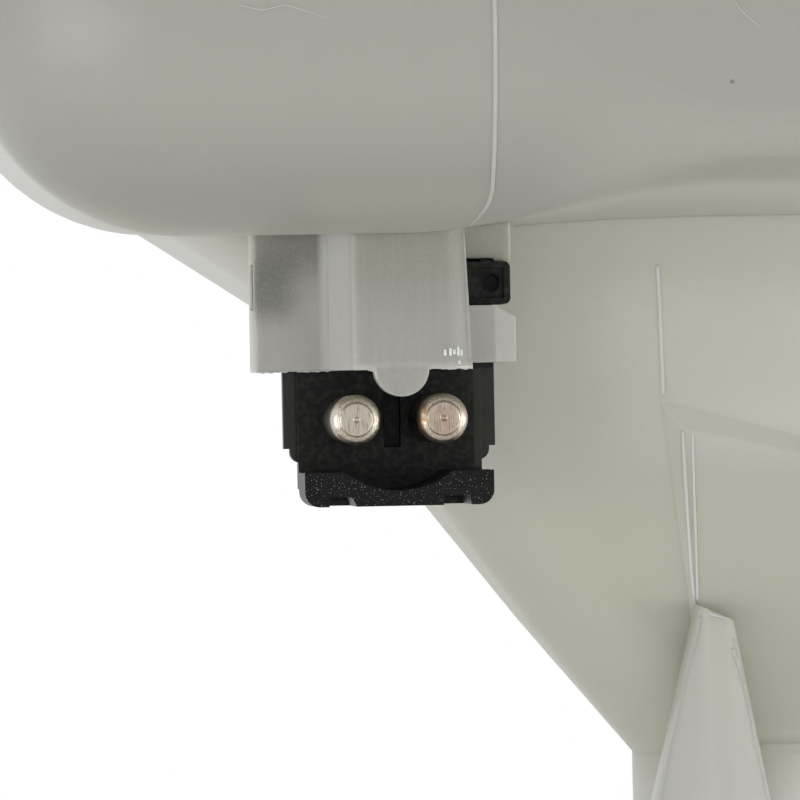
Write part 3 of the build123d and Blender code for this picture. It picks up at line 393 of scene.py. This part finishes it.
def polyamideGrained():
    opts = capPlastic
    material, tree, place = newMaterial("polyamideGrained")
    rub = addNode(tree, "TexNoise", None, {"Vector": place, "Scale": 1 / opts["rubSize"], "Detail": 4.0})
    rub = addNode(tree, "MapRange", None, {
        "Value": rub, "From Min": opts["rubRange"][0], "From Max": opts["rubRange"][1]})
    colour = addNode(tree, "Mix", {"data_type": "RGBA"},
                     {0: rub, 6: toLinear(opts["colour"]), 7: toLinear(opts["rubbed"])}).outputs[2]
    roughness = addNode(tree, "MapRange", None, {
        "Value": rub, "To Min": opts["roughness"], "To Max": opts["roughness"] - opts["rubSmooths"]})
    rounded = addNode(tree, "Bevel", {"samples": 4}, {"Radius": opts["edge"] / mmPerMetre})
    grain = addNode(tree, "TexNoise", None, {"Vector": place, "Scale": 1 / opts["grain"], "Detail": 2.0})
    relief = addNode(tree, "Bump", None,
                     {"Distance": opts["grainHeight"] / mmPerMetre, "Height": grain, "Normal": rounded})
    surface = addNode(tree, "BsdfPrincipled", None, {
        "Base Color": colour, "Roughness": roughness, "IOR": opts["ior"], "Normal": relief})
    addNode(tree, "OutputMaterial", None, {"Surface": surface})
    return material


# The small parts share one recipe: a colour clouded with a second, fine relief and rounded edges. Sizes of
# clouds, grain and edges and the relief's height are in mm
smallFinishes = {
    # EPDM rubber, moulded: matt black with a grey bloom
    "epdmMoulded": {
        "colour": "#1a1a1a", "cloud": "#272727", "cloudSize": 3.0, "grain": 0.3, "height": 0.02,
        "roughness": 0.72, "edge": 0.2, "metallic": 0.0, "ior": 1.5,
    },
    # Steel, zinc plated and passivated: silvery with a cold cloudiness
    "steelZincPlated": {
        "colour": "#b9bcc0", "cloud": "#9fa5ae", "cloudSize": 1.6, "grain": 0.25, "height": 0.01,
        "roughness": 0.3, "edge": 0.15, "metallic": 1.0,
    },
    # Spring steel, drawn: bright, with a faint cloudiness
    "springSteelDrawn": {
        "colour": "#b4b2ae", "cloud": "#98968f", "cloudSize": 0.8, "grain": 0.1, "height": 0.005,
        "roughness": 0.26, "edge": 0.05, "metallic": 1.0,
    },
    # Soda-lime glass, drawn: greenish and clear
    "sodaGlassDrawn": {
        "colour": "#a9cdbd", "cloud": "#b6d6c8", "cloudSize": 4.0, "grain": 2.0, "height": 0.002,
        "roughness": 0.04, "edge": 0.1, "metallic": 0.0, "ior": 1.52, "clear": 0.9,
    },
    # Polyurethane resin, cast: black and glossy, slightly wavy where it set
    "polyurethaneCast": {
        "colour": "#16161a", "cloud": "#1e1e22", "cloudSize": 4.0, "grain": 3.0, "height": 0.05,
        "roughness": 0.16, "edge": 0.2, "metallic": 0.0, "ior": 1.5,
    },
    # Ferrite, sintered: dark grey, dull and fine grained
    "ferriteSintered": {
        "colour": "#4c4c50", "cloud": "#414145", "cloudSize": 1.2, "grain": 0.2, "height": 0.02,
        "roughness": 0.6, "edge": 0.15, "metallic": 0.0, "ior": 2.0,
    },
    # Nitrile rubber, foamed: dark and dull, full of closed cells
    "nitrileFoamed": {
        "colour": "#232326", "cloud": "#303034", "cloudSize": 0.8, "grain": 0.4, "height": 0.08,
        "roughness": 0.8, "edge": 0.4, "metallic": 0.0, "ior": 1.5,
    },
}


def smallFinish(name, opts):
    material, tree, place = newMaterial(name)
    cloud = addNode(tree, "TexNoise", None, {"Vector": place, "Scale": 1 / opts["cloudSize"], "Detail": 3.0})
    colour = addNode(tree, "Mix", {"data_type": "RGBA"},
                     {0: cloud, 6: toLinear(opts["colour"]), 7: toLinear(opts["cloud"])}).outputs[2]
    rounded = addNode(tree, "Bevel", {"samples": 4}, {"Radius": opts["edge"] / mmPerMetre})
    grain = addNode(tree, "TexNoise", None, {"Vector": place, "Scale": 1 / opts["grain"], "Detail": 2.0})
    relief = addNode(tree, "Bump", None,
                     {"Distance": opts["height"] / mmPerMetre, "Height": grain, "Normal": rounded})
    surface = addNode(tree, "BsdfPrincipled", None, {
        "Base Color": colour, "Metallic": opts["metallic"], "Roughness": opts["roughness"],
        "Transmission Weight": opts.get("clear", 0.0), "Normal": relief})
    if "ior" in opts:
        surface.inputs["IOR"].default_value = opts["ior"]
    addNode(tree, "OutputMaterial", None, {"Surface": surface})
    return material


finishes = {name: smallFinish(name, opts) for name, opts in smallFinishes.items()}
finishes["polypropyleneMoulded"] = polypropyleneMoulded()
finishes["pbtGlassFilledMoulded"] = pbtMoulded()
finishes["brassNickelPlated"] = brassNickelPlated()
finishes["polyamideGrained"] = polyamideGrained()
flashSkin = polypropyleneFlash()
finishOfSlot = {
    "natural_pp": "polypropyleneMoulded", "black_pbt": "pbtGlassFilledMoulded",
    "black_pa": "polyamideGrained", "nickel_brass": "brassNickelPlated",
    "rubber": "epdmMoulded", "zinc_steel": "steelZincPlated",
    "spring_steel": "springSteelDrawn", "reed_glass": "sodaGlassDrawn",
    "potting": "polyurethaneCast", "ferrite": "ferriteSintered",
    "float_foam": "nitrileFoamed",
}
for part in frame["record"]["subparts"]:
    piece = nodes[part["node"]]
    piece.data.materials.clear()
    piece.data.materials.append(finishes[finishOfSlot[part["material_slot"]]])


print("beads and flash")


# a mesh from rings of points, each ring joined to the next and both ends closed
def skinRings(name, rings, material, smooth=True, body="tank"):
    mesh = bpy.data.meshes.new(name)
    piece = bpy.data.objects.new(name, mesh)
    scene.collection.objects.link(piece)
    bm = bmesh.new()
    rows = [[bm.verts.new(at(*point)) for point in ring] for ring in rings]
    for first, second in zip(rows[:-1], rows[1:]):
        for i in range(len(first)):
            j = (i + 1) % len(first)
            bm.faces.new((first[i], first[j], second[j], second[i]))
    bm.faces.new(list(reversed(rows[0])))
    bm.faces.new(rows[-1])
    bmesh.ops.recalc_face_normals(bm, faces=bm.faces)
    for face in bm.faces:
        face.smooth = smooth and len(face.verts) == 4
    bm.to_mesh(mesh)
    bm.free()
    mesh.materials.append(material)
    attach(piece, body)
    return piece


# fine lines on the wall, each along a route that is laid on it: the parting line down the front and under the
# belly, joint lines of the hopper and its pad, ridges of the leg, a burr and pips on the bracket, and two
# scratches; sizes in mm, and ragged is how far the height strays from proud, as a share of it
wallLines = {
    "parting_line": {
        "route": ((5.91, -26, 46.4), (5.91, -26, 35), (5.85, -26, 32), (5.88, -25.6, 28.2),
                  (5.92, -24.4, 24.4), (6.0, -21.8, 20.6), (6.1, -18.3, 17.6), (5.93, -16.5, 16.7),
                  (5.59, -14.9, 16.0), (5.21, -12.9, 15.5), (4.87, -10.4, 15.1)),
        "wide": 0.4, "proud": 0.009, "ragged": 0.3,
    },
    "wall_line": {
        "route": ((24.05, 28, 12.4), (24.17, 28, 9.5), (24.27, 28.2, 5.3), (24.39, 28.4, 1.5)),
        "wide": 0.34, "proud": 0.006, "ragged": 0.4,
    },
    "pad_line_left": {
        "route": ((25.9, 28, -1.5), (26.17, 28.4, -7.4), (26.46, 28.8, -12.4), (26.6, 28.9, -16.2)),
        "wide": 0.3, "proud": 0.007, "ragged": 0.4,
    },
    "pad_line_right": {
        "route": ((26.74, 28, -1.7), (26.83, 28.3, -7.4), (26.94, 28.6, -12.4), (27.0, 28.9, -15.8)),
        "wide": 0.24, "proud": 0.007, "ragged": 0.4,
    },
    "leg_top_ridge": {
        "route": ((26.7, 25.9, -16.5), (27.8, 25.1, -16.9), (29.3, 25.3, -17.4)),
        "wide": 0.26, "proud": 0.05, "ragged": 0.5,
    },
    "leg_left_ridge": {
        "route": ((26.5, 24.9, -16.9), (25.1, 24.4, -22.4), (23.8, 23.6, -27.4), (22.45, 22.6, -32.3)),
        "wide": 0.3, "proud": 0.03, "ragged": 0.7,
    },
    "leg_right_ridge": {
        "route": ((29.4, 24.6, -19.7), (30.3, 24.3, -23.3), (31.1, 23.3, -28.3), (31.9, 22.6, -33)),
        "wide": 0.4, "proud": 0.05, "ragged": 0.9,
    },
    "leg_stroke": {
        "route": ((29.5, 25.0, -18.9), (29.8, 24.9, -20.0), (29.9, 24.6, -20.9)),
        "wide": 0.2, "proud": 0.05, "ragged": 0.8,
    },
    "block_burr": {
        "route": ((5.68, 1.2, 15.0), (5.7, 1.2, 9.4), (5.68, 1.0, 4.6)),
        "wide": 0.24, "proud": 0.05, "ragged": 1.0,
    },
    "scratch_left": {
        "route": ((-13.6, -26, 31.9), (-12.0, -25.9, 31.5), (-10.2, -26, 31.9), (-6.8, -25.9, 30.8)),
        "wide": 0.12, "proud": 0.007, "ragged": 1.2,
    },
    "scratch_right": {
        "route": ((24.2, -26, 32.2), (24.6, -26, 31.2), (25.3, -26, 30.5), (26.3, -26, 29.6)),
        "wide": 0.12, "proud": 0.008, "ragged": 0.8,
    },
}
# upright pips the mould left in the block's lower right corner: each one's place in X, its top and its height
blockPips = ((3.7, 5.5, 0.5), (4.15, 5.6, 0.6), (4.5, 5.5, 0.4),
             (4.9, 5.7, 0.7), (5.3, 5.5, 0.5), (5.0, 4.6, 0.3))
pipShape = {"wide": 0.26, "proud": 0.07, "ragged": 0.2, "spacing": 0.06}
pipFront = -0.2              # mm, their place in Y, just ahead of the block
for i, (x, top, tall) in enumerate(blockPips):
    route = tuple((x, pipFront, z) for z in (top, top - tall / 2, top - tall))
    wallLines["block_pip_%d" % i] = dict(pipShape, route=route)
shell = nodes["lower_shell"]
bpy.context.view_layer.update()

# section of a bead, as shares of its width and of its height, where -1 is a foot sunk into the wall
beadShape = {
    "profile": ((-0.5, -1), (-0.38, 0.25), (-0.2, 0.75), (0.0, 1.0), (0.2, 0.75), (0.38, 0.25), (0.5, -1)),
    "sunk": 0.012,           # mm
    "spacing": 0.22,         # mm between sections
    "fade": 4,               # sections over which an end rises
    "near": 2,               # sections to each side that a section's direction is taken from
}


# a low rounded bead along a route, its height changing along the way as flash does
def wallBead(name, opts):
    corners = [Vector(point) for point in opts["route"]]
    spots = []
    for first, second in zip(corners[:-1], corners[1:]):
        count = max(2, round((second - first).length / opts.get("spacing", beadShape["spacing"])))
        spots += [first.lerp(second, i / count) for i in range(count)]
    spots.append(corners[-1])
    laid = [shell.closest_point_on_mesh(at(*spot))[1:3] for spot in spots]
    places = [place * mmPerMetre - pinPoint for place, _ in laid]
    last, near = len(laid) - 1, beadShape["near"]
    rings = []
    for i, place in enumerate(places):
        out = sum((normal for _, normal in laid[max(0, i - near):i + near + 1]), Vector()).normalized()
        ahead = (places[min(i + 1, last)] - places[max(i - 1, 0)]).normalized()
        side = ahead.cross(out).normalized()
        fade = min(1.0, i / beadShape["fade"], (last - i) / beadShape["fade"])
        height = opts["proud"] * fade * max(0.0, 1 + opts["ragged"] * random.uniform(-1, 1))
        rings.append([])
        for across, rise in beadShape["profile"]:
            lift = height * rise if rise > 0 else -beadShape["sunk"]
            rings[-1].append(tuple(place + side * opts["wide"] * across + out * lift))
    skinRings(name, rings, flashSkin)


for name, opts in wallLines.items():
    wallBead(name, opts)

# contact pins, turned: a flat nose with a centre mark, a rounded shoulder and a straight body, given by
# radius and depth behind the tip in mm
pinShape = {
    "places": {"sensor_pin_left": -3.5, "sensor_pin_right": 3.5},
    "around": 96,
    "merge": 0.001,          # mm, for the points on the axis
    "profile": ((0.0, 0.2), (0.1, 0.2), (0.2, 0.13), (0.26, 0.0), (0.32, 0.0), (1.2, 0.0), (1.3, 0.03),
                (1.36, 0.1), (1.38, 0.2), (1.44, 0.24), (1.56, 0.27), (1.7, 0.35), (1.83, 0.48), (1.93, 0.68),
                (1.99, 0.95), (2.0, 1.3), (2.0, 11.6), (1.1, 11.6), (1.1, 17.1), (0.0, 17.1)),
}


def turnedPin(node, x, opts):
    mesh = bpy.data.meshes.new(node + "_turned")
    piece = bpy.data.objects.new(node + "_turned", mesh)
    scene.collection.objects.link(piece)
    bm = bmesh.new()
    line = [bm.verts.new(at(x + radius, depth, 0)) for radius, depth in opts["profile"]]
    edges = [bm.edges.new(pair) for pair in zip(line[:-1], line[1:])]
    bmesh.ops.spin(bm, geom=line + edges, cent=at(x, 0, 0), axis=(0, 1, 0), angle=math.tau,
                   steps=opts["around"], use_merge=True)
    bmesh.ops.remove_doubles(bm, verts=bm.verts, dist=opts["merge"] / mmPerMetre)
    bmesh.ops.recalc_face_normals(bm, faces=bm.faces)
    for face in bm.faces:
        face.smooth = True
    bm.to_mesh(mesh)
    bm.free()
    mesh.materials.append(finishes["brassNickelPlated"])
    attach(piece, "tank")
    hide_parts(node)


for node, x in pinShape["places"].items():
    turnedPin(node, x, pinShape)

# coil springs behind the valve plates, drawn at rest though the real ones close up as the plates open: wire
# is its radius in mm, and still tells which end stays in place, 0 the lower and 1 the upper
valveSprings = {
    "pressure_spring": {"wire": 0.8, "turns": 3.5, "body": "cap_insert", "joint": "pressure_open",
                        "travel": 2.0, "still": 1},
    "vacuum_spring": {"wire": 0.35, "turns": 3.0, "body": "pressure_valve", "joint": "vacuum_open",
                      "travel": 1.5, "still": 0},
}
coilMesh = {"stepsPerTurn": 64, "aroundWire": 12}


def coilSpring(node, opts):
    corners = [Vector(corner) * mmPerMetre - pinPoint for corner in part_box(node)]
    tall = corners[1].z - corners[0].z
    wire, around = opts["wire"], coilMesh["aroundWire"]
    count = round(opts["turns"] * coilMesh["stepsPerTurn"])
    middle = (corners[0] + corners[1]) / 2
    radius = (corners[1].x - corners[0].x) / 2 - wire
    climb = (tall - 2 * wire) / (opts["turns"] * math.tau)
    rings = []
    for i in range(count + 1):
        angle = opts["turns"] * math.tau * i / count
        out = Vector((math.cos(angle), math.sin(angle), 0))
        along = Vector((-math.sin(angle) * radius, math.cos(angle) * radius, climb)).normalized()
        above = out.cross(along)
        spot = Vector((middle.x, middle.y, corners[0].z + wire + climb * angle)) + out * radius
        rings.append([tuple(spot + wire * (out * math.cos(a) + above * math.sin(a)))
                      for a in (math.tau * k / around for k in range(around))])
    piece = skinRings(node + "_coil", rings, finishes["springSteelDrawn"], body=opts["body"])
    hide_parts(node)
    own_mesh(piece)


for node, opts in valveSprings.items():
    coilSpring(node, opts)

# flash: the ragged film left where the mould halves met, along the bracket's lower edges
flashFilm = {
    "flash_panel": {"x": (-10.9, -4.9), "y": 9.32, "z": 4.02, "drop": (0.03, 0.42), "thick": 0.14},
    "flash_block": {"x": (-3.4, 5.9), "y": 0.06, "z": 4.02, "drop": (0.03, 0.30), "thick": 0.14},
}
filmShape = {
    "step": 0.14,            # mm between sections
    "change": 0.06,          # mm that the film's drop changes at most from one to the next
    "overlap": 0.12,         # mm that it reaches up into the bracket
    "edge": (0.3, 0.7),      # where its lower edge lies in its thickness
}


def filmRings(opts):
    left, right = opts["x"]
    least, most = opts["drop"]
    y, z, thick = opts["y"], opts["z"], opts["thick"]
    front, back = filmShape["edge"]
    top = z + filmShape["overlap"]
    count = int((right - left) / filmShape["step"])
    drop = least
    rings = []
    for i in range(count + 1):
        x = left + (right - left) * i / count
        drop = min(max(drop + random.uniform(-filmShape["change"], filmShape["change"]), least), most)
        rings.append([(x, y, top), (x, y + thick, top),
                      (x, y + thick * back, z - drop), (x, y + thick * front, z - drop)])
    return rings


for name, opts in flashFilm.items():
    skinRings(name, filmRings(opts), flashSkin, smooth=False)


print("floor and light")
stage = {
    "colour": "#efefec", "roughness": 0.8,
    "drop": 60.0,            # mm below the tank
    "middle": (50.0, 25.0),
    "reach": 520.0,          # mm, radius
    "around": 96,
    "fade": (300.0, 510.0),  # mm from the pins, where the board goes over into the white
    "waveSize": 40.0, "waveHeight": 0.1,
}


# Board, painted pale: matt and all but even, clear towards its rim
def paleFloor():
    opts = stage
    material, tree, place = newMaterial("paintedBoardPale")
    waves = addNode(tree, "TexNoise", None, {"Vector": place, "Scale": 1 / opts["waveSize"], "Detail": 2.0})
    level = addNode(tree, "VectorMath", {"operation": "MULTIPLY"}, {0: place, 1: (1, 1, 0)})
    away = addNode(tree, "VectorMath", {"operation": "LENGTH"}, {0: level}).outputs["Value"]
    rim = addNode(tree, "MapRange", {"interpolation_type": "SMOOTHSTEP"},
                  {"Value": away, "From Min": opts["fade"][0], "From Max": opts["fade"][1]})
    relief = addNode(tree, "Bump", None, {"Distance": opts["waveHeight"] / mmPerMetre, "Height": waves})
    board = addNode(tree, "BsdfPrincipled", None, {
        "Base Color": toLinear(opts["colour"]), "Roughness": opts["roughness"], "Normal": relief})
    clear = addNode(tree, "BsdfTransparent")
    under = addNode(tree, "NewGeometry").outputs["Backfacing"]      # from below the board isn't there
    gone = addNode(tree, "Math", {"operation": "MAXIMUM"}, {0: rim, 1: under})
    mixed = addNode(tree, "MixShader", None, {0: gone, 1: board, 2: clear})
    addNode(tree, "OutputMaterial", None, {"Surface": mixed})
    z = (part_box("lower_shell")[0][2] * mmPerMetre - opts["drop"]) - pinPoint.z
    mesh = bpy.data.meshes.new("floor")
    bm = bmesh.new()
    bmesh.ops.create_circle(bm, cap_ends=True, segments=opts["around"], radius=opts["reach"] / mmPerMetre,
                            matrix=Matrix.Translation(at(*opts["middle"], z)))
    bm.to_mesh(mesh)
    bm.free()
    floor = bpy.data.objects.new("floor", mesh)
    scene.collection.objects.link(floor)
    mesh.materials.append(material)


paleFloor()

# places in mm, sizes in metres and power in watts; a lamp that isn't shiny shows in no reflection
lighting = {
    "low": 0.26, "high": 0.30,      # world level from below and above
    "shade": 0.72,                  # what shiny surfaces see on the camera's side
    "shadeEnds": (-0.45, 0.0),      # how far forward, from all of that shade to none
    "aim": (0, 10, 0),              # the point that the lamps face
    "front": {"place": (0, -1100, -130), "size": (1.8, 0.5), "power": 8.0, "shiny": False},
    "left": {"place": (-980, -460, -120), "size": (0.8, 0.5), "power": 4.0, "shiny": True},
    "right": {"place": (980, -460, -120), "size": (0.8, 0.5), "power": 4.0, "shiny": True},
    "back": {"place": (100, 1200, 160), "size": (1.8, 1.0), "power": 10.5, "shiny": False},
    "top": {"place": (50, 60, 1200), "size": (1.4, 1.0), "power": 7.5, "shiny": False},
}


# an even white room: full white to the camera, a little shaded to reflections, and low as a light
def whiteRoom(opts):
    world = bpy.data.worlds.new("whiteRoom")
    scene.world = world
    world.use_nodes = True
    tree = world.node_tree
    tree.nodes.clear()
    direction = addNode(tree, "TexCoord").outputs["Generated"]
    axes = addNode(tree, "SeparateXYZ", None, {0: direction})
    rise = addNode(tree, "MapRange", None, {"Value": axes.outputs["Z"], "From Min": -1.0, "From Max": 1.0,
                                            "To Min": opts["low"], "To Max": opts["high"]})
    shaded, clear = opts["shadeEnds"]
    back = addNode(tree, "MapRange", None, {"Value": axes.outputs["Y"], "From Min": shaded, "From Max": clear,
                                            "To Min": opts["shade"], "To Max": 1.0})
    path = addNode(tree, "LightPath")
    mirror = addNode(tree, "Math", {"operation": "MAXIMUM"},
                     {0: path.outputs["Is Glossy Ray"], 1: path.outputs["Is Transmission Ray"]})
    level = addNode(tree, "Mix", {"data_type": "FLOAT"}, {0: mirror, 2: rise, 3: back})
    level = addNode(tree, "Mix", {"data_type": "FLOAT"}, {0: path.outputs["Is Camera Ray"], 2: level, 3: 1.0})
    glow = addNode(tree, "Background", None, {"Color": (1, 1, 1, 1), "Strength": level})
    addNode(tree, "OutputWorld", None, {"Surface": glow})


def softBox(name, opts, aim):
    lamp = bpy.data.lights.new(name, "AREA")
    lamp.shape = "RECTANGLE"
    lamp.size, lamp.size_y = opts["size"]
    lamp.energy = opts["power"]
    holder = bpy.data.objects.new(name, lamp)
    holder.visible_glossy = opts["shiny"]
    scene.collection.objects.link(holder)
    spot = at(*opts["place"])
    turn = (at(*aim) - spot).to_track_quat("-Z", "Y").to_matrix().to_4x4()
    holder.matrix_world = Matrix.Translation(spot) @ turn


whiteRoom(lighting)
for side in ("front", "left", "right", "back", "top"):
    softBox("softBox" + side.capitalize(), lighting[side], lighting["aim"])

print("camera")
scene.view_settings.view_transform = "Standard"
# distances in mm, turns in degrees
closeUp = {
    "distance": 600.0, "yaw": 4.4, "roll": 1.1, "lookAt": (0.0, 0.0, 1.52),
    "focal": 337.5, "nearest": 10.0,
}


def aimCamera(opts):
    yaw, roll = math.radians(opts["yaw"]), math.radians(opts["roll"])
    forward = Vector((math.sin(yaw), math.cos(yaw), 0))
    level, up = Vector((math.cos(yaw), -math.sin(yaw), 0)), Vector((0, 0, 1))
    right = level * math.cos(roll) - up * math.sin(roll)
    above = level * math.sin(roll) + up * math.cos(roll)
    lens = bpy.data.cameras.new("closeUp")
    lens.lens = opts["focal"]
    lens.clip_start = opts["nearest"] / mmPerMetre
    camera = bpy.data.objects.new("closeUp", lens)
    scene.collection.objects.link(camera)
    turn = Matrix((right, above, -forward)).transposed().to_4x4()
    place = at(*opts["lookAt"]) - forward * opts["distance"] / mmPerMetre
    camera.matrix_world = Matrix.Translation(place) @ turn
    scene.camera = camera


aimCamera(closeUp)
